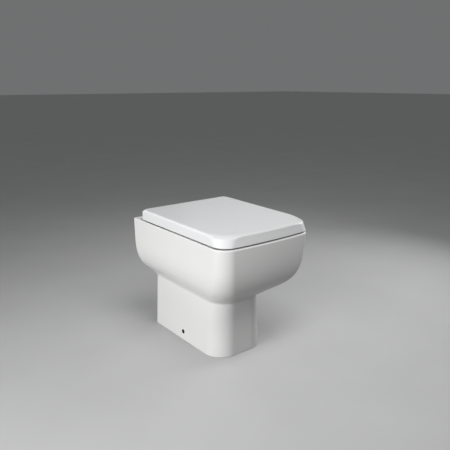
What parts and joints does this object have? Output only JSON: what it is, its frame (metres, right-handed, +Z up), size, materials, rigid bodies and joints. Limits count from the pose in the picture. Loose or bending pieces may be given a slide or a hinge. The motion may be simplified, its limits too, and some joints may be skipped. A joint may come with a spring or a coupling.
{
  "type": "back to wall toilet",
  "caption": "Back to wall toilet: a china pan on its own foot, with a soft-closing seat and a wrap-over lid that lift off quick-release hinges.",
  "frame": {"origin": "centre of the overall box on the floor: x = 0 is the centre line, y = 0 is half way from the wall to the front, z = 0 is the floor", "axes": "+Z up; +Y towards the wall; -Y is the front of the pan; +X to the right of a person in front who looks at the wall. 'left' and 'right' in node, mount and opening names are the -X and +X sides"},
  "size_m": [0.36, 0.504, 0.4645],
  "materials": {
    "china": "gloss white glaze",
    "seat_plastic": "gloss white thermoset",
    "hinge_cover": "gloss white moulding",
    "hinge_metal": "polished chrome",
    "steel": "turned stainless",
    "damper": "natural nylon",
    "button": "fine satin grey",
    "gasket": "matt",
    "buffer": "matt translucent white"
  },
  "bodies": {
    "pan_body": {"pan": "china", "deck_gasket_left": "gasket", "deck_gasket_right": "gasket", "base_disc_left": "hinge_metal", "base_disc_right": "hinge_metal", "hinge_stud_left": "steel", "hinge_stud_right": "steel", "expansion_bush_left": "gasket", "expansion_bush_right": "gasket", "cone_nut_left": "steel", "cone_nut_right": "steel"},
    "hinge_set": {"hinge_block_left": "hinge_cover", "hinge_block_right": "hinge_cover", "lid_pivot_pin": "steel", "seat_pivot_pin": "steel", "seat_damper_rotor": "steel", "lid_damper_rotor": "steel"},
    "button_left": {"release_button_left": "button"},
    "button_right": {"release_button_right": "button"},
    "seat_body": {"seat_ring": "seat_plastic", "seat_buffers": "buffer", "seat_damper_housing": "damper", "seat_bush": "damper"},
    "lid_body": {"lid": "seat_plastic", "lid_buffers": "buffer", "lid_damper_housing": "damper", "lid_bush": "damper"}
  },
  "joints": [
    {"name": "seat_lift_off", "type": "slide", "parent": "pan_body", "child": "hinge_set", "axis": [0, 0, 1], "range_m": [0, 0.05]},
    {"name": "seat_hinge", "type": "hinge", "parent": "hinge_set", "child": "seat_body", "pos_m": [0, 0.186, 0.4505], "axis": [-1, 0, 0], "range_deg": [0, 92]},
    {"name": "lid_hinge", "type": "hinge", "parent": "seat_body", "child": "lid_body", "pos_m": [0, 0.186, 0.4505], "axis": [-1, 0, 0], "range_deg": [0, 95]},
    {"name": "release_left", "type": "slide", "parent": "hinge_set", "child": "button_left", "axis": [0, 1, 0], "range_m": [0, 0.003], "stiffness_N_per_m": 200, "springref_m": -0.002},
    {"name": "release_right", "type": "slide", "parent": "hinge_set", "child": "button_right", "axis": [0, 1, 0], "range_m": [0, 0.003], "stiffness_N_per_m": 200, "springref_m": -0.002}
  ]
}
